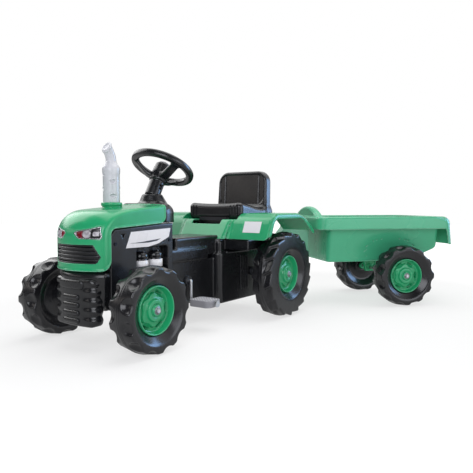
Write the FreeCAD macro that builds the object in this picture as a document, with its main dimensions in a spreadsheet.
import FreeCAD, Part
import math
import operator
import os
from types import SimpleNamespace

import Sketcher
from FreeCAD import Placement, Rotation, Vector

# Ride-on pedal tractor with a two-wheel trailer.
# Millimetres, +Z up, the tractor looks along -Y and its left side is +X.
# Places are thought of from the ground under the rear axle and written from the origin,
# which lies on the ground under the middle of the tractor and its swung trailer.

SIZES = {
    # wheels
    "front_tyre_radius": 104.5,
    "rear_tyre_radius": 133,
    "front_tyre_width": 67,
    "rear_tyre_width": 67,
    "trailer_tyre_width": 71,
    "tyre_wall": 3,
    "tyre_shoulder": 13,
    "front_lug_count": 12,
    "rear_lug_count": 18,
    "front_lug_depth": 9,
    "rear_lug_depth": 7,
    "front_groove_radius": 11,
    "rear_groove_radius": 8,
    "rim_radius": 59,
    "rim_recess": 15,
    "rim_wall": 4,
    "rim_ring": 7,
    "hub_radius": 24,
    "hub_step": 6,
    "rim_slot_count": 6,
    "rim_slot_radius": 7,
    "axle_radius": 6,
    "cap_radius": 9,
    "cap_height": 6,
    # layout
    "origin_x": 172.67,
    "origin_y": 47.09,
    "wheelbase": 557,
    "front_half_track": 207.5,
    "rear_half_track": 240,
    "trailer_half_track": 204,
    "hitch_y": 130,
    "hitch_height": 165,
    "trailer_reach": 506,
    "trailer_yaw": -42,
    # fits
    "running_clearance": 0.1,
    "seat_clearance": 0.3,
    "side_clearance": 0.5,
    # chassis mouldings
    "wall": 3,
    "body_half": 90,
    "tunnel_half": -26,
    "core_half": -20,
    "box_front": -156,
    "box_rear": 88,
    "box_bottom": 49,
    "box_top": 246,
    "box_corner": 12,
    "tunnel_bottom": 66,
    "tunnel_top": 215,
    "saddle_start": 35,
    "saddle_top": 258,
    "core_rear": 172,
    "core_front": -44.5,
    "core_bottom": 95,
    "core_top": 285,
    "nose_block_front": -61,
    "nose_block_half": -8,
    "panel_front": -44.5,
    "panel_corner_y": -30,
    "panel_corner_z": 290,
    "panel_front_top": 278,
    "panel_rear_top": 302.5,
    "recess_front": 39,
    "recess_rear": 152,
    "recess_bottom": 160,
    "recess_top": 243,
    "recess_corner": 10,
    "canister_radius": 21,
    "canister_height": 66,
    "canister_spacing": 52,
    "canister_dome": 10,
    "screw_radius": 4,
    "screw_head": 2,
    "screw_inset": 14,
    # bonnet
    "hood_front": -95,
    "hood_bow_radius": 136,
    "hood_rear": 145,
    "hood_nose_bottom": 192,
    "hood_front_top": 300,
    "hood_crown_y": -55,
    "hood_crown_z": 336,
    "hood_rear_top": 352,
    "hood_wall": 3,
    "hood_edge": 24,
    "hood_rear_step": 19,
    "hood_rear_chamfer": 22,
    "grille_half": -12,
    "grille_bottom": 211,
    "grille_top": 254,
    "grille_depth": 6,
    "grille_recess": 2,
    "louvre_count": 3,
    "louvre_height": 7,
    "lamp_inner": 14,
    "lamp_outer": -10,
    "lamp_bottom": 266,
    "lamp_top": 302,
    "exhaust_y": 39,
    "exhaust_radius": 21.5,
    "exhaust_bottom": 357,
    "exhaust_shoulder": 440,
    "exhaust_neck": 453,
    "exhaust_pipe_radius": 14.5,
    "exhaust_wall": 3,
    "exhaust_bend": 482,
    "exhaust_lean": 28,
    "exhaust_tip": 26,
    "collar_radius": 27,
    # front weight
    "weight_half": -14,
    "weight_front": -83,
    "weight_bottom": 60,
    "weight_top": 190,
    "weight_rib_count": 4,
    "weight_rib_gap": 5,
    "weight_corner": 14,
    # dashboard and steering
    "dash_rear": 177,
    "dash_top": 355,
    "dash_edge": 24,
    "dash_bow_radius": 112,
    "dash_bow_rear": 221,
    "wheel_y": 229.4,
    "wheel_z": 455.5,
    "wheel_radius": 91.5,
    "wheel_grip_radius": 10.5,
    "column_tilt": 28.5,
    "column_radius": 21.5,
    "column_length": 84,
    "boot_top_radius": 30,
    "boot_base_radius": 40,
    "boot_length": 40,
    "spoke_width": 22,
    "spoke_height": 10,
    "hub_height": 10,
    "button_radius": 16,
    "button_height": 12,
    "button_travel": 3,
    "shaft_radius": 6,
    "shaft_length": 395,
    "shaft_bush_radius": 12,
    "shaft_bush_length": 12,
    "shaft_bracket_drop": 352,
    "shaft_bracket_depth": 40,
    "crank_pin_radius": 4,
    "crank_pin_length": 26,
    "steer_arm": 45,
    "slot_clearance": 0.3,
    # front axle
    "beam_height": 24,
    "beam_depth": 20,
    "eye_radius": 13,
    "kingpin_x": 25,
    "kingpin_radius": 5,
    "lug_thickness": 10,
    "knuckle_web": 8,
    "pin_head": 4,
    "tie_bar_thickness": 8,
    "tie_bar_width": 18,
    "tie_tab_half": 16,
    # pedal drive
    "crank_y": 259,
    "crank_throw": 56,
    "crank_rod_radius": 5,
    "crank_arm_x": -12,
    "crank_bush_radius": 14,
    "bush_flange": 8,
    "pedal_inner": 1,
    "pedal_width": 76,
    "pedal_depth": 62,
    "pedal_height": 22,
    "pedal_edge": 6,
    "chain_pitch": 12.7,
    "crank_teeth": 16,
    "axle_teeth": 12,
    "sprocket_thickness": 4,
    "tooth_height": 3.5,
    "roller_radius": 3.9,
    "chain_half_width": 5.5,
    "chain_plate": 2.5,
    "chain_inside": 4,
    "chain_outside": 6,
    # seat and fenders
    "fender_half": 240,
    "fender_wall": 3,
    "fender_front_bottom": -160,
    "fender_front_top": -106,
    "fender_top": 325,
    "fender_rear_top": 75,
    "fender_rear_bottom": 145,
    "fender_rear_height": 268,
    "fender_skirt": 23,
    "seat_base_half": 3,
    "seat_base_top": 300,
    "seat_half": 103,
    "seat_front": -114,
    "seat_bottom": 311,
    "seat_front_top": 356,
    "seat_dip_y": 42,
    "seat_dip_z": 341,
    "seat_back_front": 66,
    "seat_back_rear": 107,
    "seat_back_top": 465,
    "seat_corner": 28,
    "seat_back_corner": 36,
    "seat_wall": 3,
    "seat_room": 3,
    "bracket_half": 55,
    "bracket_front": -95,
    "bracket_rear": 60,
    # hitch and trailer
    "hitch_plate_half": 30,
    "hitch_plate_thickness": 10,
    "hitch_flange_height": 45,
    "hitch_pin_radius": 7,
    "hitch_pin_head": 12,
    "eye_block_radius": 26,
    "eye_block_height": 24,
    "drawbar_half": 26,
    "drawbar_gusset_reach": 116,
    "drawbar_gusset_bottom": 270,
    "drawbar_gusset_top": 292,
    "drawbar_knee": 50,
    "drawbar_wall": 4,
    "tub_front": 300,
    "tub_rear": 190,
    "tub_slope_start": 45,
    "tub_bottom": 150,
    "tub_tail": 215,
    "tub_top": 309,
    "tub_bottom_half": 122,
    "tub_top_half": 150,
    "tub_lip_half": 165,
    "tub_lip_reach": 14,
    "tub_lip_drop": 44,
    "tub_tail_drop": 100,
    "tub_wall": 3,
    "tub_corner": 30,
    "headboard_half": 130,
    "headboard_rise": 36,
    "headboard_depth": 28,
    "leg_x": 85,
    "leg_width": 18,
    "leg_depth": 56,
    "leg_foot": 14,
}

OPERATIONS = {"+": operator.add, "-": operator.sub, "*": operator.mul, "/": operator.truediv}


class Size:
    """A size: its number, and the sheet formula that gives it."""

    def __init__(self, value, text):
        self.value = float(value)
        self.text = text

    def __add__(self, other):
        return combine(self, "+", other)

    def __radd__(self, other):
        return combine(other, "+", self)

    def __sub__(self, other):
        return combine(self, "-", other)

    def __rsub__(self, other):
        return combine(other, "-", self)

    def __mul__(self, other):
        return combine(self, "*", other)

    def __rmul__(self, other):
        return combine(other, "*", self)

    def __truediv__(self, other):
        return combine(self, "/", other)

    def __rtruediv__(self, other):
        return combine(other, "/", self)

    def __neg__(self):
        return combine(0, "-", self)


def as_size(item):
    return item if isinstance(item, Size) else Size(item, repr(float(item)))


def combine(left, sign, right):
    left = as_size(left)
    right = as_size(right)
    return Size(OPERATIONS[sign](left.value, right.value), f"({left.text} {sign} {right.text})")


def sine(angle):
    angle = as_size(angle)
    return Size(math.sin(math.radians(angle.value)), f"sin({angle.text})")


def cosine(angle):
    angle = as_size(angle)
    return Size(math.cos(math.radians(angle.value)), f"cos({angle.text})")


def tangent(angle):
    return sine(angle) / cosine(angle)


def arc_sine(ratio):
    return Size(math.degrees(math.asin(ratio.value)), f"asin({ratio.text})")


doc = FreeCAD.newDocument("pedal_tractor")
sheet = doc.addObject("Spreadsheet::Sheet", "Sizes")
for row, (name, value) in enumerate(SIZES.items(), start=1):
    sheet.set(f"A{row}", name)
    sheet.set(f"B{row}", str(value))
    sheet.setAlias(f"B{row}", name)
doc.recompute()

d = SimpleNamespace(**{name: Size(value, f"Sizes.{name}") for name, value in SIZES.items()})

# Places of the front end are sized from the front axle, so the front end moves with it as one
FROM_FRONT_AXLE = [
    "core_rear", "core_front", "nose_block_front", "panel_front", "panel_corner_y", "recess_front",
    "recess_rear", "hood_front", "hood_rear", "hood_crown_y", "exhaust_y", "weight_front",
    "dash_rear", "dash_bow_rear", "wheel_y", "crank_y",
]
# Widths of what lies along the body are sized from the body's side
FROM_BODY_SIDE = [
    "core_half", "nose_block_half", "tunnel_half", "grille_half", "lamp_outer", "weight_half",
    "crank_arm_x", "pedal_inner", "kingpin_x", "seat_base_half",
]
for name in FROM_FRONT_AXLE:
    setattr(d, name, getattr(d, name) - d.wheelbase)
for name in FROM_BODY_SIDE:
    setattr(d, name, getattr(d, name) + d.body_half)
nodes = []


# Basic moves: binding sizes, placing pieces, naming nodes

def bind(obj, prop, size):
    obj.setExpression(prop, as_size(size).text)


def put(obj, place, turn=None):
    """Put an object at a place measured from the ground under the rear axle."""
    x, y, z = place
    obj.Placement = Placement(Vector(), turn or Rotation())
    bind(obj, "Placement.Base.x", x - d.origin_x)
    bind(obj, "Placement.Base.y", y - d.origin_y)
    bind(obj, "Placement.Base.z", z)
    return obj


def node(label, obj):
    obj.Label = label
    nodes.append(obj)
    return obj


YAW_TURN = Rotation(Vector(0, 0, 1), d.trailer_yaw.value)


def swung(place):
    """Place of a trailer point after the trailer swings about the hitch pin."""
    x, y, z = place
    reach = y - d.hitch_y
    across = x * cosine(d.trailer_yaw) - reach * sine(d.trailer_yaw)
    along = x * sine(d.trailer_yaw) + reach * cosine(d.trailer_yaw)
    return (across, along + d.hitch_y, z)


def trailer_node(label, obj):
    """Name a finished trailer piece and swing it as a whole to its place at rest."""
    put(obj, swung((d.origin_x, d.origin_y, as_size(0))), YAW_TURN)
    return node(label, obj)


# Basic solids

AXIS_TURN = {
    "X": Rotation(Vector(0, 1, 0), 90),
    "Y": Rotation(Vector(1, 0, 0), -90),
    "Z": Rotation(),
}


def block(x, y, z):
    """Box over three (from, to) ranges."""
    obj = doc.addObject("Part::Box", "Block")
    for prop, (start, end) in zip(("Length", "Width", "Height"), (x, y, z)):
        bind(obj, prop, as_size(end) - start)
    return put(obj, (x[0], y[0], z[0]))


def rod(place, radius, length, axis="X"):
    obj = doc.addObject("Part::Cylinder", "Rod")
    bind(obj, "Radius", radius)
    bind(obj, "Height", length)
    return put(obj, place, AXIS_TURN[axis])


def ball(place, radius):
    obj = doc.addObject("Part::Sphere", "Ball")
    bind(obj, "Radius", radius)
    return put(obj, place)


def fuse(*pieces):
    obj = doc.addObject("Part::MultiFuse", "Fuse")
    obj.Shapes = list(pieces)
    return obj


def cut(base, *tools):
    obj = doc.addObject("Part::Cut", "Cut")
    obj.Base = base
    obj.Tool = tools[0] if len(tools) == 1 else fuse(*tools)
    return obj


def common(*pieces):
    obj = doc.addObject("Part::MultiCommon", "Common")
    obj.Shapes = list(pieces)
    return obj


def group(*pieces):
    obj = doc.addObject("Part::Compound", "Group")
    obj.Links = list(pieces)
    return obj


# Sketched solids

def new_body(name):
    body = doc.addObject("PartDesign::Body", name)
    return body, {feature.Role: feature for feature in body.Origin.OriginFeatures}


def new_sketch(body, plane):
    sketch = body.newObject("Sketcher::SketchObject", "Sketch")
    sketch.AttachmentSupport = [(plane, "")]
    sketch.MapMode = "FlatFace"
    return sketch


def pin_point(sketch, geometry, position, x, y):
    """Hold one sketch point at bound distances from the sketch origin."""
    for kind, size in (("DistanceX", as_size(x)), ("DistanceY", as_size(y))):
        index = sketch.addConstraint(Sketcher.Constraint(kind, -1, 1, geometry, position, size.value))
        bind(sketch, f"Constraints[{index}]", size)


def draw_outline(sketch, points):
    corners = [Vector(as_size(x).value, as_size(y).value, 0) for x, y in points]
    count = len(points)
    for index in range(count):
        sketch.addGeometry(Part.LineSegment(corners[index], corners[(index + 1) % count]))
    for index in range(count):
        sketch.addConstraint(Sketcher.Constraint("Coincident", index, 2, (index + 1) % count, 1))
    for index, (x, y) in enumerate(points):
        pin_point(sketch, index, 1, x, y)


def draw_circle(sketch, x, y, radius):
    middle = Vector(as_size(x).value, as_size(y).value, 0)
    index = sketch.addGeometry(Part.Circle(middle, Vector(0, 0, 1), as_size(radius).value))
    held = sketch.addConstraint(Sketcher.Constraint("Radius", index, as_size(radius).value))
    bind(sketch, f"Constraints[{held}]", radius)
    pin_point(sketch, index, 3, x, y)


def round_edges(body, feature, radius, chosen):
    """Fillet the edges of a body's last feature that the test picks out."""
    doc.recompute()
    edges = [f"Edge{i}" for i, edge in enumerate(feature.Shape.Edges, start=1) if chosen(edge)]
    fillet = body.newObject("PartDesign::Fillet", "Fillet")
    fillet.Base = (feature, edges)
    bind(fillet, "Radius", radius)
    body.Tip = fillet
    return fillet


def runs_along(direction):
    """Test for straight edges that run along X, Y or Z."""
    axis = {"X": Vector(1, 0, 0), "Y": Vector(0, 1, 0), "Z": Vector(0, 0, 1)}[direction]

    def test(edge):
        straight = isinstance(edge.Curve, Part.Line)
        return straight and abs(edge.tangentAt(edge.FirstParameter).dot(axis)) > 0.999

    return test


def side_prism(outline, x, name="Side"):
    """Side outline of (y, z) points from the ground, extruded over a range of x."""
    body, planes = new_body(name)
    sketch = new_sketch(body, planes["YZ_Plane"])
    draw_outline(sketch, [(y - d.origin_y, z) for y, z in outline])
    bind(sketch, "AttachmentOffset.Base.z", x[0] - d.origin_x)
    pad = body.newObject("PartDesign::Pad", "Pad")
    pad.Profile = sketch
    bind(pad, "Length", as_size(x[1]) - x[0])
    return body, pad


def front_prism(outline, y, name="Front"):
    """Front outline of (x, z) points from the ground, extruded over a range of y."""
    body, planes = new_body(name)
    sketch = new_sketch(body, planes["XZ_Plane"])
    draw_outline(sketch, [(x - d.origin_x, z) for x, z in outline])
    bind(sketch, "AttachmentOffset.Base.z", d.origin_y - y[1])
    pad = body.newObject("PartDesign::Pad", "Pad")
    pad.Profile = sketch
    bind(pad, "Length", as_size(y[1]) - y[0])
    return body, pad


def turned(name, outline):
    """Outline of (along X, radius) points turned about the X axis."""
    body, planes = new_body(name)
    sketch = new_sketch(body, planes["XZ_Plane"])
    draw_outline(sketch, outline)
    turn = body.newObject("PartDesign::Revolution", "Turn")
    turn.Profile = sketch
    turn.ReferenceAxis = (planes["X_Axis"], [""])
    turn.Angle = 360
    doc.recompute()
    return body, planes


def ring_of_holes(body, planes, count, circle):
    """Cut a round hole along X and repeat it about the X axis."""
    sketch = new_sketch(body, planes["YZ_Plane"])
    draw_circle(sketch, *circle)
    hole = body.newObject("PartDesign::Pocket", "Hole")
    hole.Profile = sketch
    hole.Type = "ThroughAll"
    hole.Midplane = True
    doc.recompute()
    ring = body.newObject("PartDesign::PolarPattern", "Ring")
    ring.Originals = [hole]
    ring.Axis = (planes["X_Axis"], [""])
    ring.Angle = 360
    bind(ring, "Occurrences", count)
    body.Tip = ring


# Wheels, modelled round the X axis with the outer face at +X

LEFT = Rotation()
RIGHT = Rotation(Vector(0, 0, 1), 180)


def make_tyre(label, radius, width, lugs, lug_depth, groove_radius):
    """Hollow tyre carcass open to the rim, with grooves between its lugs."""
    face = width / 2
    shoulder = radius - d.tyre_shoulder
    crown = radius - lug_depth - d.tyre_wall
    side = face - d.tyre_wall
    bead = face - d.rim_recess - d.tyre_wall
    seat = d.rim_radius + d.tyre_wall
    outline = [
        (-face, d.rim_radius), (-face, shoulder), (d.tyre_shoulder - face, radius),
        (face - d.tyre_shoulder, radius), (face, shoulder), (face, d.rim_radius),
        (bead, d.rim_radius), (bead, seat), (side, seat), (side, crown - d.tyre_shoulder),
        (side - d.tyre_shoulder, crown), (d.tyre_shoulder - side, crown),
        (-side, crown - d.tyre_shoulder), (-side, d.rim_radius),
    ]
    body, planes = turned(label, outline)
    half_pitch = 180 / lugs
    reach = radius + groove_radius - lug_depth
    ring_of_holes(body, planes, lugs, (reach * sine(half_pitch), reach * cosine(half_pitch), groove_radius))
    return body


def make_rim(label, width, bore, inner_end):
    """Moulded rim: barrel under the tyre, holed disc, stepped ring and hub."""
    face = width / 2
    disc = face - d.rim_recess
    back = disc - d.rim_wall
    inside = d.rim_radius - d.rim_wall
    hub_wall = bore + d.rim_wall * 2
    outline = [
        (inner_end, bore), (disc + d.hub_step, bore), (disc + d.hub_step, d.hub_radius),
        (disc, d.hub_radius), (disc, d.rim_radius - d.rim_ring),
        (disc + d.rim_wall, d.rim_radius - d.rim_ring), (disc + d.rim_wall, d.rim_radius),
        (d.rim_wall / 2 - face, d.rim_radius), (d.rim_wall / 2 - face, inside), (back, inside),
        (back, hub_wall), (inner_end, hub_wall),
    ]
    body, planes = turned(label, outline)
    middle = (d.hub_radius + d.rim_radius - d.rim_ring) / 2
    ring_of_holes(body, planes, d.rim_slot_count, (0, middle, d.rim_slot_radius))
    return body


def make_cap(face, height, sign):
    """Push cap over an axle end, seated on the hub at the given outer face."""
    start = face - d.rim_recess + d.hub_step + d.side_clearance
    place = (start, *height) if sign > 0 else (-start - d.cap_height, *height)
    bore_place = (start, *height) if sign > 0 else (d.cap_height / -2 - start, *height)
    return cut(rod(place, d.cap_radius, d.cap_height), rod(bore_place, d.axle_radius, d.cap_height / 2))


def axle_end(face):
    """Distance from the middle plane to the end of an axle inside its cap."""
    return face - d.rim_recess + d.hub_step + d.side_clearance + d.cap_height / 2


front_axle = (-d.wheelbase, d.front_tyre_radius)
rear_axle = (as_size(0), d.rear_tyre_radius)
trailer_axle = (d.hitch_y + d.trailer_reach, d.front_tyre_radius)

FRONT_TYRE = (d.front_tyre_radius, d.front_tyre_width, d.front_lug_count, d.front_lug_depth,
              d.front_groove_radius)
REAR_TYRE = (d.rear_tyre_radius, d.rear_tyre_width, d.rear_lug_count, d.rear_lug_depth, d.rear_groove_radius)
TRAILER_TYRE = (d.front_tyre_radius, d.trailer_tyre_width, d.front_lug_count, d.front_lug_depth,
                d.front_groove_radius)

free_bore = d.axle_radius + d.running_clearance
knuckle_face = d.kingpin_x + d.eye_radius + d.side_clearance * 2 + d.knuckle_web
bush_face = d.body_half + d.bush_flange
leg_face = d.leg_x + d.leg_width / 2


def make_wheel(axle_name, side, tyre_sizes, half_track, bore, inner_face, axle):
    """Tyre and rim of one wheel; the hub reaches in to the inner face that stops it."""
    width = tyre_sizes[1]
    middle = half_track - width / 2
    turn, sign = (LEFT, 1) if side == "left" else (RIGHT, -1)
    place = (sign * middle, *axle)
    if axle_name == "trailer":
        place = swung(place)
        turn = YAW_TURN * turn
    tyre = make_tyre(f"{axle_name}_tyre_{side}_body", *tyre_sizes)
    rim = make_rim(f"{axle_name}_rim_{side}_body", width, bore, inner_face + d.side_clearance - middle)
    node(f"{axle_name}_tyre_{side}", put(tyre, place, turn))
    node(f"{axle_name}_rim_{side}", put(rim, place, turn))


def build_wheels():
    for side, sign in (("left", 1), ("right", -1)):
        rear_bore = d.axle_radius if side == "left" else free_bore
        make_wheel("front", side, FRONT_TYRE, d.front_half_track, free_bore, knuckle_face, front_axle)
        make_wheel("rear", side, REAR_TYRE, d.rear_half_track, rear_bore, bush_face, rear_axle)
        make_wheel("trailer", side, TRAILER_TYRE, d.trailer_half_track, free_bore, leg_face, trailer_axle)
        node(f"front_axle_cap_{side}", make_cap(d.front_half_track, front_axle, sign))
    node("rear_axle_caps", group(*[make_cap(d.rear_half_track, rear_axle, sign) for sign in (1, -1)]))
    caps = [make_cap(d.trailer_half_track, trailer_axle, sign) for sign in (1, -1)]
    trailer_node("trailer_axle_caps", group(*caps))


# Black chassis mouldings

def build_chassis():
    box, pad = side_prism(
        [(d.box_front, d.box_bottom), (d.box_rear, d.box_bottom),
         (d.box_rear, d.box_top), (d.box_front, d.box_top)], (-d.body_half, d.body_half), "RearBox")
    round_edges(box, pad, d.box_corner, runs_along("Z"))
    hollow = block((d.wall - d.body_half, d.body_half - d.wall), (d.box_front + d.wall, d.box_rear - d.wall),
                   (d.box_bottom, d.box_top - d.wall))
    drive_gap = block((d.wall - d.tunnel_half, d.tunnel_half - d.wall), (d.box_front, d.box_front + d.wall * 2),
                      (d.box_bottom, d.tunnel_top - d.wall))
    axle_hole = rod((-d.body_half, *rear_axle), d.crank_bush_radius, d.body_half * 2)
    node("chassis_rear_box", cut(box, hollow, drive_gap, axle_hole))

    saddle_front = d.core_rear + d.saddle_start
    saddle_rear = d.fender_front_bottom - d.seat_clearance
    half = d.tunnel_half
    inside = d.tunnel_half - d.wall
    tunnel = fuse(
        block((-half, half), (d.core_rear, d.box_front), (d.tunnel_bottom, d.tunnel_top)),
        block((-half, half), (saddle_front, saddle_rear), (d.tunnel_bottom, d.saddle_top)))
    tunnel_hollow = fuse(
        block((-inside, inside), (d.core_rear, d.box_front), (d.tunnel_bottom, d.tunnel_top - d.wall)),
        block((-inside, inside), (saddle_front + d.wall, saddle_rear - d.wall),
              (d.tunnel_bottom, d.saddle_top - d.wall)))
    crank_hole = rod((-d.tunnel_half, d.crank_y, d.rear_tyre_radius), d.crank_bush_radius, d.tunnel_half * 2)
    node("chassis_tunnel", cut(tunnel, tunnel_hollow, crank_hole))

    core = block((-d.core_half, d.core_half), (d.core_front, d.core_rear), (d.core_bottom, d.core_top))
    core_hollow = block((d.wall - d.core_half, d.core_half - d.wall),
                        (d.core_front + d.wall, d.core_rear - d.wall), (d.core_bottom, d.core_top))
    nose = block((-d.nose_block_half, d.nose_block_half), (d.nose_block_front, d.core_front),
                 (d.core_bottom, d.hood_nose_bottom - d.seat_clearance))
    nose_hollow = block((d.wall - d.nose_block_half, d.nose_block_half - d.wall),
                        (d.nose_block_front + d.wall, d.core_front),
                        (d.core_bottom, d.hood_nose_bottom - d.seat_clearance - d.wall))
    node("engine_core", cut(fuse(core, nose), core_hollow, nose_hollow, beam_gap((-d.core_half, d.core_half))))


def beam_gap(span):
    """Notch through which the front axle beam passes, tight only on top of the beam."""
    return block(span, (-d.wheelbase - d.beam_depth, d.beam_depth - d.wheelbase),
                 (d.core_bottom, d.front_tyre_radius + d.beam_height / 2))


def build_side_panels():
    for side, sign in (("left", 1), ("right", -1)):
        span = (d.core_half, d.body_half) if sign > 0 else (-d.body_half, -d.core_half)
        outline = [
            (d.panel_front, d.core_bottom), (d.panel_front, d.panel_front_top),
            (d.panel_corner_y, d.panel_corner_z), (d.hood_rear - d.hood_rear_chamfer, d.panel_rear_top),
            (d.core_rear, d.panel_rear_top), (d.core_rear, d.core_bottom),
        ]
        panel, pad = side_prism(outline, span, f"Panel_{side}")
        skin = d.body_half - d.wall
        room = (d.core_half, skin) if sign > 0 else (-skin, -d.core_half)
        pocket = block(room, (d.panel_front + d.wall, d.core_rear - d.wall),
                       (d.core_bottom + d.wall, d.panel_front_top - d.wall))

        def window_prism(grow):
            front, rear = d.recess_front - grow, d.recess_rear + grow
            low, high = d.recess_bottom - grow, d.recess_top + grow
            body, pad = side_prism([(front, low), (rear, low), (rear, high), (front, high)], span, "Window")
            round_edges(body, pad, d.recess_corner + grow, runs_along("X"))
            return body

        shell = fuse(cut(panel, pocket), window_prism(d.wall))
        node(f"side_panel_{side}", cut(shell, window_prism(as_size(0)), beam_gap(span)))
    canisters = []
    screws = []
    middle = (d.recess_front + d.recess_rear) / 2
    for sign in (1, -1):
        outer = (d.core_half, d.core_half + d.canister_radius)
        half = outer if sign > 0 else (-outer[1], -outer[0])
        for offset in (-0.5, 0.5):
            y = middle + d.canister_spacing * offset
            base = (sign * d.core_half, y, d.recess_bottom)
            straight = d.canister_height - d.canister_dome
            barrel = rod(base, d.canister_radius, straight, "Z")
            dome = doc.addObject("Part::Cone", "Dome")
            bind(dome, "Radius1", d.canister_radius)
            bind(dome, "Radius2", d.canister_radius - d.canister_dome)
            bind(dome, "Height", d.canister_dome)
            put(dome, (base[0], y, d.recess_bottom + straight))
            keep = block(half, (y - d.canister_radius, y + d.canister_radius),
                         (d.recess_bottom, d.recess_bottom + d.canister_height))
            canisters.append(common(fuse(barrel, dome), keep))
        for y in (d.panel_front + d.screw_inset, d.core_rear - d.screw_inset):
            for z in (d.core_bottom + d.screw_inset, d.recess_top + d.screw_inset):
                start = d.body_half if sign > 0 else -d.body_half - d.screw_head
                screws.append(rod((start, y, z), d.screw_radius, d.screw_head))
    node("filter_canisters", group(*canisters))
    node("panel_screws", group(*screws))


# Green bonnet with its inserts

def hood_outline(inset):
    """Side outline of the bonnet, drawn in by the wall for its inside."""
    drop = as_size(0) if inset is None else inset
    bottom_drop = as_size(0) if inset is None else d.hood_wall * 4
    return [
        (d.hood_front + drop, d.hood_nose_bottom - bottom_drop),
        (d.hood_front + drop, d.hood_front_top - drop),
        (d.hood_crown_y + drop, d.hood_crown_z - drop),
        (d.hood_rear + bottom_drop, d.hood_rear_top - drop),
        (d.hood_rear + bottom_drop, d.panel_rear_top + d.hood_rear_step + d.seat_clearance - bottom_drop),
        (d.hood_rear - d.hood_rear_chamfer, d.panel_rear_top + d.seat_clearance - bottom_drop),
        (d.panel_corner_y, d.panel_corner_z + d.seat_clearance - bottom_drop),
        (d.panel_front - d.seat_clearance + bottom_drop, d.panel_front_top + d.seat_clearance - bottom_drop),
        (d.panel_front - d.seat_clearance + bottom_drop, d.hood_nose_bottom - bottom_drop),
    ]


def hood_plan(inset):
    """Plan of the bonnet: bowed front running into straight sides."""
    radius = d.hood_bow_radius - inset
    half = d.body_half - inset
    middle = d.hood_front + d.hood_bow_radius
    depth = (d.hood_nose_bottom - d.hood_wall * 4, d.hood_rear_top)
    bow = rod((as_size(0), middle, depth[0]), radius, depth[1] - depth[0], "Z")
    sides = block((-half, half), (middle, d.hood_rear + d.hood_wall * 4), depth)
    return common(fuse(bow, sides), block((-half, half), (d.hood_front, d.hood_rear + d.hood_wall * 4), depth))


def bowed_insert(x, z):
    """Insert that fills an opening of the bowed nose, set back from its face."""
    middle = d.hood_front + d.hood_bow_radius
    radius = d.hood_bow_radius - d.grille_recess
    height = z[1] - z[0] - d.seat_clearance * 2
    base = (as_size(0), middle, z[0] + d.seat_clearance)
    ring = cut(rod(base, radius, height, "Z"), rod(base, radius - d.grille_depth, height, "Z"))
    window = block((x[0] + d.seat_clearance, x[1] - d.seat_clearance), (d.hood_front, middle), z)
    return common(ring, window)


def build_hood():
    outer, pad = side_prism(hood_outline(None), (-d.body_half, d.body_half), "HoodOuter")
    top = d.hood_crown_z.value - 1

    def is_top_edge(edge):
        return edge.BoundBox.XLength < 1 and edge.BoundBox.ZMin > top and edge.BoundBox.YLength > 1

    round_edges(outer, pad, d.hood_edge, is_top_edge)
    inner_half = d.body_half - d.hood_wall
    inner, inner_pad = side_prism(hood_outline(d.hood_wall), (-inner_half, inner_half), "HoodInner")
    inner_top = top - d.hood_wall.value

    def is_inner_top_edge(edge):
        return edge.BoundBox.XLength < 1 and edge.BoundBox.ZMin > inner_top and edge.BoundBox.YLength > 1

    round_edges(inner, inner_pad, d.hood_edge - d.hood_wall, is_inner_top_edge)
    shell = cut(common(outer, hood_plan(as_size(0))), common(inner, hood_plan(d.hood_wall)))
    collar_base = d.hood_crown_z - d.hood_wall
    collar = rod((as_size(0), d.exhaust_y, collar_base), d.collar_radius, d.exhaust_bottom - collar_base, "Z")
    front = (d.hood_front, d.hood_front + d.hood_bow_radius / 2)
    grille_window = block((-d.grille_half, d.grille_half), front, (d.grille_bottom, d.grille_top))
    lamp_windows = [block(x, front, (d.lamp_bottom, d.lamp_top))
                    for x in ((d.lamp_inner, d.lamp_outer), (-d.lamp_outer, -d.lamp_inner))]
    node("hood", cut(fuse(shell, collar), grille_window, *lamp_windows))

    grille = bowed_insert((-d.grille_half, d.grille_half), (d.grille_bottom, d.grille_top))
    pitch = (d.grille_top - d.grille_bottom) / (SIZES["louvre_count"] + 1)
    louvres = []
    for index in range(1, SIZES["louvre_count"] + 1):
        middle_z = d.grille_bottom + pitch * index
        louvres.append(block((d.grille_depth - d.grille_half, d.grille_half - d.grille_depth), front,
                             (middle_z - d.louvre_height / 2, middle_z + d.louvre_height / 2)))
    node("grille", cut(grille, *louvres))
    lamp_z = (d.lamp_bottom, d.lamp_top)
    node("headlight_left", bowed_insert((d.lamp_inner, d.lamp_outer), lamp_z))
    node("headlight_right", bowed_insert((-d.lamp_outer, -d.lamp_inner), lamp_z))


def build_exhaust():
    centre = (as_size(0), d.exhaust_y)
    body = rod((*centre, d.exhaust_bottom), d.exhaust_radius, d.exhaust_shoulder - d.exhaust_bottom, "Z")
    shoulder = doc.addObject("Part::Cone", "Shoulder")
    bind(shoulder, "Radius1", d.exhaust_radius)
    bind(shoulder, "Radius2", d.exhaust_pipe_radius)
    bind(shoulder, "Height", d.exhaust_neck - d.exhaust_shoulder)
    put(shoulder, (*centre, d.exhaust_shoulder))
    pipe = rod((*centre, d.exhaust_neck), d.exhaust_pipe_radius, d.exhaust_bend - d.exhaust_neck, "Z")
    knee = ball((*centre, d.exhaust_bend), d.exhaust_pipe_radius)
    lean = Rotation(Vector(1, 0, 0), d.exhaust_lean.value)
    tip = doc.addObject("Part::Cylinder", "Tip")
    bore = doc.addObject("Part::Cylinder", "Bore")
    for piece, radius in ((tip, d.exhaust_pipe_radius), (bore, d.exhaust_pipe_radius - d.exhaust_wall)):
        bind(piece, "Radius", radius)
        bind(piece, "Height", d.exhaust_tip)
        put(piece, (*centre, d.exhaust_bend), lean)
    node("exhaust_stack", cut(fuse(body, shoulder, pipe, knee, tip), bore))


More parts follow.
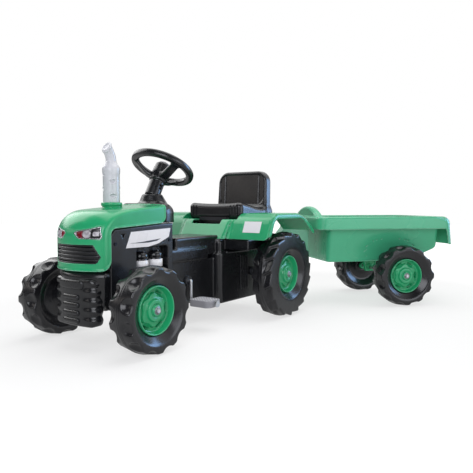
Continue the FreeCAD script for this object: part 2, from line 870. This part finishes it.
def build_front_weight():
    height = (d.weight_top - d.weight_bottom) / SIZES["weight_rib_count"]
    span = (-d.weight_half, d.weight_half)
    slab, pad = side_prism(
        [(d.weight_front, d.weight_bottom), (d.nose_block_front, d.weight_bottom),
         (d.nose_block_front, d.weight_top), (d.weight_front, d.weight_top)], span, "Weight")
    front = d.weight_front.value - d.origin_y.value

    def is_front_edge(edge):
        return abs(edge.BoundBox.YMax - front) < 0.1 and edge.BoundBox.ZLength > 1

    round_edges(slab, pad, d.weight_corner, is_front_edge)
    gaps = []
    for index in range(1, SIZES["weight_rib_count"]):
        middle = d.weight_bottom + height * index
        gaps.append(block(span, (d.weight_front, d.weight_front + d.weight_rib_gap),
                          (middle - d.weight_rib_gap / 2, middle + d.weight_rib_gap / 2)))
    pocket = block((d.wall - d.weight_half, d.weight_half - d.wall),
                   (d.weight_front + d.weight_rib_gap + d.wall, d.nose_block_front),
                   (d.weight_bottom + d.wall, d.weight_top - d.wall))
    node("front_weight", cut(slab, pocket, *gaps))


# Steering, with the column pieces along a leaning axis

COLUMN_TURN = Rotation(Vector(1, 0, 0), -d.column_tilt.value)


def on_column(drop):
    """Point on the column axis, the given distance below the steering wheel's middle."""
    return (as_size(0), d.wheel_y - drop * sine(d.column_tilt), d.wheel_z - drop * cosine(d.column_tilt))


def column_rod(drop, radius, length):
    """Round piece on the column whose lower end is the given distance below the wheel."""
    obj = doc.addObject("Part::Cylinder", "ColumnRod")
    bind(obj, "Radius", radius)
    bind(obj, "Height", length)
    return put(obj, on_column(drop), COLUMN_TURN)


def build_dash():
    outline = [
        (d.hood_rear - d.hood_rear_chamfer + d.seat_clearance, d.panel_rear_top),
        (d.hood_rear + d.seat_clearance, d.panel_rear_top + d.hood_rear_step),
        (d.hood_rear + d.seat_clearance, d.dash_top),
        (d.dash_rear, d.dash_top), (d.dash_rear, d.panel_rear_top),
    ]
    dash, pad = side_prism(outline, (-d.body_half, d.body_half), "Dash")
    top = d.dash_top.value

    def is_shoulder(edge):
        return abs(edge.BoundBox.ZMin - top) < 0.1 and edge.BoundBox.XLength < 1

    round_edges(dash, pad, d.dash_edge, is_shoulder)
    inside = d.body_half - d.dash_edge
    hollow = block((-inside, inside), (d.hood_rear + d.wall * 2, d.dash_rear - d.wall),
                   (d.panel_rear_top, d.dash_top - d.wall))
    bow_base = (as_size(0), d.dash_bow_rear - d.dash_bow_radius, d.panel_rear_top)
    height = d.dash_top - d.panel_rear_top
    bow = cut(rod(bow_base, d.dash_bow_radius, height, "Z"),
              rod(bow_base, d.dash_bow_radius - d.wall, height - d.wall, "Z"))
    behind = block((-d.body_half, d.body_half), (d.dash_rear, d.dash_bow_rear), (d.panel_rear_top, d.dash_top))
    boot = doc.addObject("Part::Cone", "Boot")
    boot_drop = d.column_length + d.side_clearance * 4 + d.boot_length
    bind(boot, "Radius1", d.boot_base_radius)
    bind(boot, "Radius2", d.boot_top_radius)
    bind(boot, "Height", d.boot_length)
    put(boot, on_column(boot_drop), COLUMN_TURN)
    bore = column_rod(d.shaft_length, d.shaft_bush_radius, d.shaft_length)
    node("dash_panel", cut(fuse(cut(dash, hollow), common(bow, behind), boot), bore))


def build_steering():
    ring = doc.addObject("Part::Torus", "Grip")
    bind(ring, "Radius1", d.wheel_radius - d.wheel_grip_radius)
    bind(ring, "Radius2", d.wheel_grip_radius)
    put(ring, on_column(as_size(0)), COLUMN_TURN)
    column = column_rod(d.column_length, d.column_radius, d.column_length + d.hub_height)
    spokes = []
    for angle in (0, 120, 240):
        spoke = doc.addObject("Part::Box", "Spoke")
        bind(spoke, "Length", d.wheel_radius - d.wheel_grip_radius)
        bind(spoke, "Width", d.spoke_width)
        bind(spoke, "Height", d.spoke_height)
        turn = COLUMN_TURN * Rotation(Vector(0, 0, 1), angle + 90)
        x, y, z = on_column(as_size(0))
        shift = turn.multVec(Vector(0, -d.spoke_width.value / 2, -d.spoke_height.value / 2))
        put(spoke, (x + shift.x, y + shift.y, z + shift.z), turn)
        spokes.append(spoke)
    well_depth = d.button_height / 2 + d.button_travel
    well = column_rod(well_depth - d.hub_height, d.button_radius + d.seat_clearance, well_depth)
    shaft_hole = column_rod(d.column_length, d.shaft_radius, d.column_length - d.hub_height)
    node("steering_wheel", cut(fuse(ring, column, *spokes), well, shaft_hole))
    node("horn_button", column_rod(d.button_height / 2 - d.hub_height, d.button_radius, d.button_height))

    shaft = column_rod(d.shaft_length, d.shaft_radius, d.shaft_length - d.hub_height)
    arm = doc.addObject("Part::Cylinder", "Arm")
    bind(arm, "Radius", d.crank_pin_radius)
    bind(arm, "Height", d.steer_arm)
    put(arm, on_column(d.shaft_length), COLUMN_TURN * Rotation(Vector(1, 0, 0), -90))
    tilt = d.column_tilt
    x, y, z = on_column(d.shaft_length)
    knee = (x, y + d.steer_arm * cosine(tilt), z - d.steer_arm * sine(tilt))
    pin = doc.addObject("Part::Cylinder", "CrankPin")
    bind(pin, "Radius", d.crank_pin_radius)
    bind(pin, "Height", d.crank_pin_length)
    put(pin, knee, COLUMN_TURN * Rotation(Vector(1, 0, 0), 180))
    node("steering_shaft", fuse(shaft, ball((x, y, z), d.shaft_radius), arm, ball(knee, d.crank_pin_radius), pin))

    upper_drop = d.column_length + d.boot_length
    shaft_bore = d.shaft_radius + d.running_clearance
    upper = cut(column_rod(upper_drop, d.shaft_bush_radius, d.shaft_bush_length),
                column_rod(upper_drop, shaft_bore, d.shaft_bush_length))
    node("steering_bush", upper)
    bracket = doc.addObject("Part::Box", "Bracket")
    inside = d.core_half - d.wall
    bind(bracket, "Length", inside * 2)
    bind(bracket, "Width", d.shaft_bracket_depth)
    bind(bracket, "Height", d.shaft_bush_length)
    x, y, z = on_column(d.shaft_bracket_drop)
    half_depth = d.shaft_bracket_depth / 2
    put(bracket, (-inside, y - half_depth * cosine(tilt), z + half_depth * sine(tilt)), COLUMN_TURN)
    lower_bore = column_rod(d.shaft_bracket_drop, shaft_bore, d.shaft_bush_length)
    node("steering_bracket", cut(bracket, lower_bore))


def build_front_axle():
    axle_y, axle_z = front_axle
    half_height = d.beam_height / 2
    half_depth = d.beam_depth / 2
    low = axle_z - half_height
    bar = block((-d.kingpin_x, d.kingpin_x), (axle_y - half_depth, axle_y + half_depth),
                (low, axle_z + half_height))
    eyes = [rod((sign * d.kingpin_x, axle_y, low), d.eye_radius, d.beam_height, "Z") for sign in (1, -1)]
    pin_bore = d.kingpin_radius + d.running_clearance
    bores = [rod((sign * d.kingpin_x, axle_y, low), pin_bore, d.beam_height, "Z") for sign in (1, -1)]
    node("front_axle_beam", cut(fuse(bar, *eyes), *bores))

    gap = d.seat_clearance
    arm_bottom = low - gap - d.lug_thickness
    fork_top = axle_z + half_height + gap + d.lug_thickness
    tie_top = arm_bottom - gap
    tie_bottom = tie_top - d.tie_bar_thickness
    pivot_y = axle_y + d.steer_arm
    web_start = knuckle_face - d.knuckle_web
    for side, sign in (("left", 1), ("right", -1)):
        x = sign * d.kingpin_x

        def outward(start, end):
            return (start, end) if sign > 0 else (-end, -start)

        lugs = []
        for bottom in (arm_bottom, axle_z + half_height + gap):
            lugs.append(rod((x, axle_y, bottom), d.eye_radius, d.lug_thickness, "Z"))
            lugs.append(block(outward(d.kingpin_x, knuckle_face), (axle_y - d.eye_radius, axle_y + d.eye_radius),
                              (bottom, bottom + d.lug_thickness)))
        web = block(outward(web_start, knuckle_face), (axle_y - d.eye_radius, axle_y + d.eye_radius),
                    (arm_bottom, fork_top))
        end = axle_end(d.front_half_track)
        start = web_start if sign > 0 else -end
        stub = rod((start, axle_y, axle_z), d.axle_radius, end - web_start)
        arm = block((x - d.tie_bar_width / 2, x + d.tie_bar_width / 2), (axle_y, pivot_y),
                    (arm_bottom, arm_bottom + d.lug_thickness))
        boss = rod((x, pivot_y, arm_bottom), d.tie_bar_width / 2, d.lug_thickness, "Z")
        pivot = rod((x, pivot_y, tie_bottom - d.pin_head), d.crank_pin_radius,
                    arm_bottom - tie_bottom + d.pin_head, "Z")
        pin_hole = rod((x, axle_y, arm_bottom), d.kingpin_radius, fork_top - arm_bottom, "Z")
        node(f"steering_knuckle_{side}", cut(fuse(*lugs, web, stub, arm, boss, pivot), pin_hole))
        pin = rod((x, axle_y, arm_bottom), d.kingpin_radius, fork_top - arm_bottom, "Z")
        head = rod((x, axle_y, fork_top), d.kingpin_radius + d.pin_head, d.pin_head, "Z")
        node(f"kingpin_{side}", fuse(pin, head))

    half_bar = d.tie_bar_width / 2
    bar = block((-d.kingpin_x, d.kingpin_x), (pivot_y - half_bar, pivot_y + half_bar), (tie_bottom, tie_top))
    ends = [rod((sign * d.kingpin_x, pivot_y, tie_bottom), half_bar, d.tie_bar_thickness, "Z")
            for sign in (1, -1)]
    x, y, z = on_column(d.shaft_length)
    knee_z = z - d.steer_arm * sine(d.column_tilt)
    knee_y = y + d.steer_arm * cosine(d.column_tilt)
    middle = (tie_bottom + tie_top) / 2
    slot_y = knee_y - (knee_z - middle) * tangent(d.column_tilt)
    slot_half = d.crank_pin_radius + d.slot_clearance
    slot_reach = d.tie_bar_width
    tab = block((-d.tie_tab_half, d.tie_tab_half), (pivot_y, slot_y + slot_reach + d.tie_bar_thickness),
                (tie_bottom, tie_top))
    slot = block((-slot_half, slot_half), (slot_y - slot_reach, slot_y + slot_reach), (tie_bottom, tie_top))
    eye_bore = d.crank_pin_radius + d.running_clearance
    eye_holes = [rod((sign * d.kingpin_x, pivot_y, tie_bottom), eye_bore, d.tie_bar_thickness, "Z")
                 for sign in (1, -1)]
    node("tie_rod", cut(fuse(bar, tab, *ends), slot, *eye_holes))


# Pedals, crank, chain and rear axle

def pitch_radius(teeth):
    return d.chain_pitch / (2 * sine(180 / teeth))


def make_sprocket(label, place, teeth, bore):
    half = d.sprocket_thickness / 2
    tip = pitch_radius(teeth) + d.tooth_height
    body, planes = turned(label + "_body", [(-half, bore), (half, bore), (half, tip), (-half, tip)])
    ring_of_holes(body, planes, teeth, (0, pitch_radius(teeth), d.roller_radius))
    node(label, put(body, (as_size(0), *place)))


def chain_loop(offset, half_width):
    """Belt outline round both sprockets, grown by an offset."""
    crank_radius = pitch_radius(d.crank_teeth) + offset
    axle_radius = pitch_radius(d.axle_teeth) + offset
    lean = arc_sine((crank_radius - axle_radius) / -d.crank_y)
    height = d.rear_tyre_radius
    rounds = [rod((-half_width, y, height), radius, half_width * 2)
              for y, radius in ((d.crank_y, crank_radius), (as_size(0), axle_radius))]
    sides = [
        (d.crank_y + crank_radius * sine(lean), height + crank_radius * cosine(lean)),
        (axle_radius * sine(lean), height + axle_radius * cosine(lean)),
        (axle_radius * sine(lean), height - axle_radius * cosine(lean)),
        (d.crank_y + crank_radius * sine(lean), height - crank_radius * cosine(lean)),
    ]
    strip, pad = side_prism(sides, (-half_width, half_width), "Strip")
    return fuse(strip, *rounds)


def build_drive():
    crank = (d.crank_y, d.rear_tyre_radius)
    pedal_outer = d.pedal_inner + d.pedal_width
    rod_end = pedal_outer + d.side_clearance + d.bush_flange / 2
    pieces = [rod((-d.crank_arm_x, *crank), d.crank_rod_radius, d.crank_arm_x * 2)]
    caps = []
    for side, sign in (("left", 1), ("right", -1)):
        level = d.rear_tyre_radius - sign * d.crank_throw
        x = sign * d.crank_arm_x
        low = level if sign > 0 else d.rear_tyre_radius
        pieces.append(rod((x, d.crank_y, low), d.crank_rod_radius, d.crank_throw, "Z"))
        start = d.crank_arm_x if sign > 0 else -rod_end
        pieces.append(rod((start, d.crank_y, level), d.crank_rod_radius, rod_end - d.crank_arm_x))
        pieces.append(ball((x, *crank), d.crank_rod_radius))
        pieces.append(ball((x, d.crank_y, level), d.crank_rod_radius))

        span = (d.pedal_inner, pedal_outer) if sign > 0 else (-pedal_outer, -d.pedal_inner)
        half_depth = d.pedal_depth / 2
        half_height = d.pedal_height / 2
        plate, pad = side_prism(
            [(d.crank_y - half_depth, level - half_height), (d.crank_y + half_depth, level - half_height),
             (d.crank_y + half_depth, level + half_height), (d.crank_y - half_depth, level + half_height)],
            span, f"Pedal_{side}")
        round_edges(plate, pad, d.pedal_edge, runs_along("X"))
        bore = rod((span[0], d.crank_y, level), d.crank_rod_radius + d.running_clearance, d.pedal_width)
        node(f"pedal_{side}", cut(plate, bore))
        cap_start = pedal_outer + d.side_clearance
        cap_x = cap_start if sign > 0 else -cap_start - d.bush_flange
        cap = rod((cap_x, d.crank_y, level), d.cap_radius, d.bush_flange)
        hole_x = cap_start if sign > 0 else -rod_end
        caps.append(cut(cap, rod((hole_x, d.crank_y, level), d.crank_rod_radius, d.bush_flange / 2)))
    node("crank_rod", fuse(*pieces))
    node("pedal_caps", group(*caps))

    make_sprocket("crank_sprocket", crank, d.crank_teeth, d.crank_rod_radius)
    make_sprocket("axle_sprocket", rear_axle, d.axle_teeth, d.axle_radius)
    groove = d.chain_half_width - d.chain_plate
    loop = cut(chain_loop(d.chain_outside, d.chain_half_width),
               chain_loop(-d.chain_inside, d.chain_half_width),
               chain_loop(d.tooth_height + d.side_clearance, groove))
    node("drive_chain", loop)

    def bushes(half, place, bore):
        pieces = []
        for sign in (1, -1):
            inner = half - d.wall
            length = d.wall + d.bush_flange
            x = inner if sign > 0 else -inner - length
            bush = rod((x, *place), d.crank_bush_radius, length)
            pieces.append(cut(bush, rod((x, *place), bore + d.running_clearance, length)))
        return group(*pieces)

    node("crank_bushes", bushes(d.tunnel_half, crank, d.crank_rod_radius))
    node("rear_axle_bushes", bushes(d.body_half, rear_axle, d.axle_radius))
    end = axle_end(d.rear_half_track)
    node("rear_axle", rod((-end, *rear_axle), d.axle_radius, end * 2))


# Fenders, seat and hitch

def build_fenders():
    def profile(inset):
        return [
            (d.fender_front_bottom + inset, d.box_top), (d.fender_front_top + inset, d.fender_top - inset),
            (d.fender_rear_top - inset, d.fender_top - inset),
            (d.fender_rear_bottom - inset, d.fender_rear_height), (d.fender_rear_bottom - inset, d.box_top),
        ]

    outer, pad = side_prism(profile(as_size(0)), (-d.fender_half, d.fender_half), "FenderOuter")
    inner_x = d.seat_base_half
    outer_x = d.fender_half - d.fender_wall
    tools = []
    for span in ((inner_x, outer_x), (-outer_x, -inner_x)):
        well, well_pad = side_prism(profile(d.fender_wall), span, "Well")
        tools.append(well)
    for span in ((outer_x, d.fender_half), (-d.fender_half, -outer_x)):
        arch, arch_pad = side_prism(profile(d.fender_skirt), span, "Arch")
        tools.append(arch)
    base_half = d.seat_base_half - d.fender_wall
    tools.append(block((-base_half, base_half),
                       (d.fender_front_top, d.box_rear - d.fender_wall),
                       (d.box_top, d.seat_base_top - d.fender_wall)))
    room = d.seat_half + d.seat_room
    tools.append(block((-room, room), (d.seat_front - d.seat_room, d.fender_rear_bottom),
                       (d.seat_base_top, d.fender_top)))
    tools.append(block((-inner_x, inner_x), (d.box_rear, d.fender_rear_bottom), (d.box_top, d.fender_top)))
    tail = block((-d.fender_half, d.fender_half), (d.fender_rear_bottom - d.fender_wall, d.fender_rear_bottom),
                 (d.box_top, d.fender_rear_height - d.fender_skirt / 2))
    tools.append(tail)
    node("fender_body", cut(outer, *tools))


def build_seat():
    def profile(inset, drop):
        return [
            (d.seat_front + inset, d.seat_bottom - drop),
            (d.seat_front + inset, d.seat_front_top - d.seat_corner / 2 - inset),
            (d.seat_front + d.seat_corner / 2 + inset, d.seat_front_top - inset),
            (d.seat_dip_y, d.seat_dip_z - inset),
            (d.seat_back_front + inset, d.seat_front_top),
            (d.seat_back_front + d.seat_corner / 4 + inset, d.seat_back_top - inset),
            (d.seat_back_rear - inset, d.seat_back_top - inset),
            (d.seat_back_rear - inset, d.seat_bottom - drop),
        ]

    shell, pad = side_prism(profile(as_size(0), as_size(0)), (-d.seat_half, d.seat_half), "SeatOuter")
    top = d.seat_back_top.value

    def is_back_corner(edge):
        return edge.BoundBox.ZMin > top - 0.1 and edge.BoundBox.XLength < 0.1

    rounded = round_edges(shell, pad, d.seat_back_corner, is_back_corner)
    front = d.seat_front.value - d.origin_y.value

    def is_front_corner(edge):
        return abs(edge.BoundBox.YMax - front) < 0.1 and edge.BoundBox.XLength < 0.1

    round_edges(shell, rounded, d.seat_corner / 2, is_front_corner)
    inside = d.seat_half - d.seat_wall
    hollow, hollow_pad = side_prism(profile(d.seat_wall, d.seat_wall), (-inside, inside), "SeatInner")
    hollow_top = top - d.seat_wall.value

    def is_hollow_corner(edge):
        return edge.BoundBox.ZMin > hollow_top - 0.1 and edge.BoundBox.XLength < 0.1

    rounded = round_edges(hollow, hollow_pad, d.seat_back_corner - d.seat_wall, is_hollow_corner)
    hollow_front = front + d.seat_wall.value

    def is_hollow_front(edge):
        return abs(edge.BoundBox.YMax - hollow_front) < 0.1 and edge.BoundBox.XLength < 0.1

    round_edges(hollow, rounded, d.seat_corner / 2, is_hollow_front)
    node("seat", cut(shell, hollow))
    plate = block((-d.seat_half + d.seat_wall, d.seat_half - d.seat_wall),
                  (d.seat_front + d.seat_corner, d.seat_back_rear - d.seat_wall),
                  (d.seat_bottom, d.seat_bottom + d.seat_wall))
    foot = block((-d.bracket_half, d.bracket_half), (d.bracket_front, d.bracket_rear),
                 (d.seat_base_top, d.seat_bottom))
    rim = d.seat_wall * 2
    recess = block((rim - d.bracket_half, d.bracket_half - rim), (d.bracket_front + rim, d.bracket_rear - rim),
                   (d.seat_base_top, d.seat_bottom))
    node("seat_bracket", fuse(plate, cut(foot, recess)))


def build_hitch():
    zero = as_size(0)
    pin_bore = d.hitch_pin_radius + d.running_clearance
    top = d.hitch_height
    bottom = top - d.hitch_plate_thickness
    plate = block((-d.hitch_plate_half, d.hitch_plate_half), (d.box_rear, d.hitch_y), (bottom, top))
    nose = rod((zero, d.hitch_y, bottom), d.hitch_plate_half, d.hitch_plate_thickness, "Z")
    flange = block((-d.hitch_plate_half, d.hitch_plate_half), (d.box_rear, d.box_rear + d.wall),
                   (top - d.hitch_flange_height, top))
    bore = rod((zero, d.hitch_y, bottom), pin_bore, d.hitch_plate_thickness, "Z")
    node("hitch_bracket", cut(fuse(plate, nose, flange), bore))
    eye_top = top + d.seat_clearance + d.eye_block_height
    pin_length = eye_top + d.seat_clearance - bottom + d.hitch_plate_thickness
    pin = rod((zero, d.hitch_y, bottom - d.hitch_plate_thickness), d.hitch_pin_radius, pin_length, "Z")
    head = rod((zero, d.hitch_y, eye_top + d.seat_clearance), d.hitch_pin_head, d.pin_head * 2, "Z")
    node("hitch_pin", fuse(pin, head))

    eye_bottom = top + d.seat_clearance
    gusset_y = d.hitch_y + d.drawbar_gusset_reach
    wall_y = trailer_axle[0] - d.tub_front
    bar, pad = side_prism(
        [(d.hitch_y, eye_bottom), (d.hitch_y, eye_top), (d.hitch_y + d.drawbar_knee, eye_top),
         (gusset_y, d.drawbar_gusset_bottom), (gusset_y, d.drawbar_gusset_top),
         (wall_y, d.drawbar_gusset_top), (wall_y, eye_bottom)], (-d.drawbar_half, d.drawbar_half), "Bar")
    wall = d.drawbar_wall
    knee_y = d.hitch_y + d.drawbar_knee
    hollow, hollow_pad = side_prism(
        [(knee_y, eye_bottom), (knee_y, eye_top - wall), (gusset_y + wall, d.drawbar_gusset_bottom - wall),
         (wall_y - wall, d.drawbar_gusset_top - wall), (wall_y - wall, eye_bottom)],
        (wall - d.drawbar_half, d.drawbar_half - wall), "BarHollow")
    eye = rod((zero, d.hitch_y, eye_bottom), d.eye_block_radius, d.eye_block_height, "Z")
    eye_bore = rod((zero, d.hitch_y, eye_bottom), pin_bore, d.eye_block_height, "Z")
    trailer_node("trailer_drawbar", cut(fuse(bar, eye), hollow, eye_bore))


# Trailer

def tub_solid(inset):
    """Tub outline in side and end view, drawn in by the wall for its inside."""
    axle_y = trailer_axle[0]
    front = axle_y - d.tub_front + inset
    rear = axle_y + d.tub_rear - inset
    floor = d.tub_bottom + inset
    rise = d.tub_top + inset
    side, pad = side_prism(
        [(front, floor), (axle_y + d.tub_slope_start, floor), (rear, d.tub_tail + inset),
         (rear, rise), (front, rise)], (-d.tub_lip_half, d.tub_lip_half), "TubSide")
    end, end_pad = front_prism(
        [(inset - d.tub_bottom_half, floor), (d.tub_bottom_half - inset, floor),
         (d.tub_top_half - inset, rise), (inset - d.tub_top_half, rise)], (front, rear), "TubEnd")
    return common(side, end)


def build_trailer():
    axle_y, axle_z = trailer_axle
    lip_front = axle_y - d.tub_front - d.tub_lip_reach
    lip_rear = axle_y + d.tub_rear + d.tub_lip_reach
    wall = d.tub_wall

    def lip_block(inset, z):
        return side_prism([(lip_front + inset, z[0]), (lip_rear - inset, z[0]),
                           (lip_rear - inset, z[1]), (lip_front + inset, z[1])],
                          (inset - d.tub_lip_half, d.tub_lip_half - inset), "Lip")

    lip, lip_pad = lip_block(as_size(0), (d.tub_top - d.tub_lip_drop, d.tub_top))
    round_edges(lip, lip_pad, d.tub_corner, runs_along("Z"))
    under, under_pad = lip_block(wall, (d.tub_top - d.tub_lip_drop, d.tub_top - wall))
    round_edges(under, under_pad, d.tub_corner - wall, runs_along("Z"))
    skirt = cut(lip, under)
    tail = block((d.tub_corner - d.tub_lip_half, d.tub_lip_half - d.tub_corner), (lip_rear - wall, lip_rear),
                 (d.tub_top - d.tub_tail_drop, d.tub_top - d.tub_lip_drop))
    radius = (d.headboard_half * d.headboard_half + d.headboard_rise * d.headboard_rise) / (d.headboard_rise * 2)
    board_front = axle_y - d.tub_front
    board_rear = board_front + d.headboard_depth
    arch = rod((as_size(0), board_front, d.tub_top + d.headboard_rise - radius), radius, d.headboard_depth, "Y")
    board = common(arch, block((-d.headboard_half, d.headboard_half), (board_front, board_rear),
                               (d.tub_top - wall, d.tub_top + d.headboard_rise)))
    slot_half = d.drawbar_half + d.seat_clearance
    drawbar_slot = block((-slot_half, slot_half), (lip_front, axle_y - d.tub_front),
                         (d.tub_top - d.tub_lip_drop, d.drawbar_gusset_top + d.seat_clearance))
    shell = cut(fuse(tub_solid(as_size(0)), skirt, tail), tub_solid(wall), drawbar_slot)
    trailer_node("trailer_tub", fuse(shell, board))

    legs = []
    for sign in (1, -1):
        x = sign * d.leg_x
        outline = [(axle_y - d.leg_depth / 2, d.tub_bottom), (axle_y - d.leg_foot, axle_z - d.leg_foot),
                   (axle_y + d.leg_foot, axle_z - d.leg_foot), (axle_y + d.leg_depth / 2, d.tub_bottom)]
        leg, pad = side_prism(outline, (x - d.leg_width / 2, x + d.leg_width / 2), "Leg")
        legs.append(cut(leg, rod((x - d.leg_width / 2, axle_y, axle_z), d.axle_radius, d.leg_width)))
    trailer_node("trailer_axle_legs", group(*legs))
    end = axle_end(d.trailer_half_track)
    axle = rod((as_size(0), axle_y, axle_z), d.axle_radius, end * 2)
    turn = YAW_TURN * AXIS_TURN["X"]
    node("trailer_axle", put(axle, swung((-end, axle_y, axle_z)), turn))


build_chassis()
build_side_panels()
build_hood()
build_exhaust()
build_front_weight()
build_dash()
build_steering()
build_front_axle()
build_drive()
build_fenders()
build_seat()
build_hitch()
build_trailer()
build_wheels()
doc.recompute()

# Write the nodes once every object has proved sound
for obj in doc.Objects:
    if "Invalid" in obj.State or "Error" in obj.State:
        raise RuntimeError(f"{obj.Label} did not build")
for obj in nodes:
    if obj.Shape.isNull() or not obj.Shape.isValid() or not obj.Shape.Solids:
        raise RuntimeError(f"{obj.Label} has no sound solid")
os.makedirs("parts", exist_ok=True)
for obj in nodes:
    obj.Shape.exportStep(f"parts/{obj.Label}.step")
print(len(nodes), "nodes written")
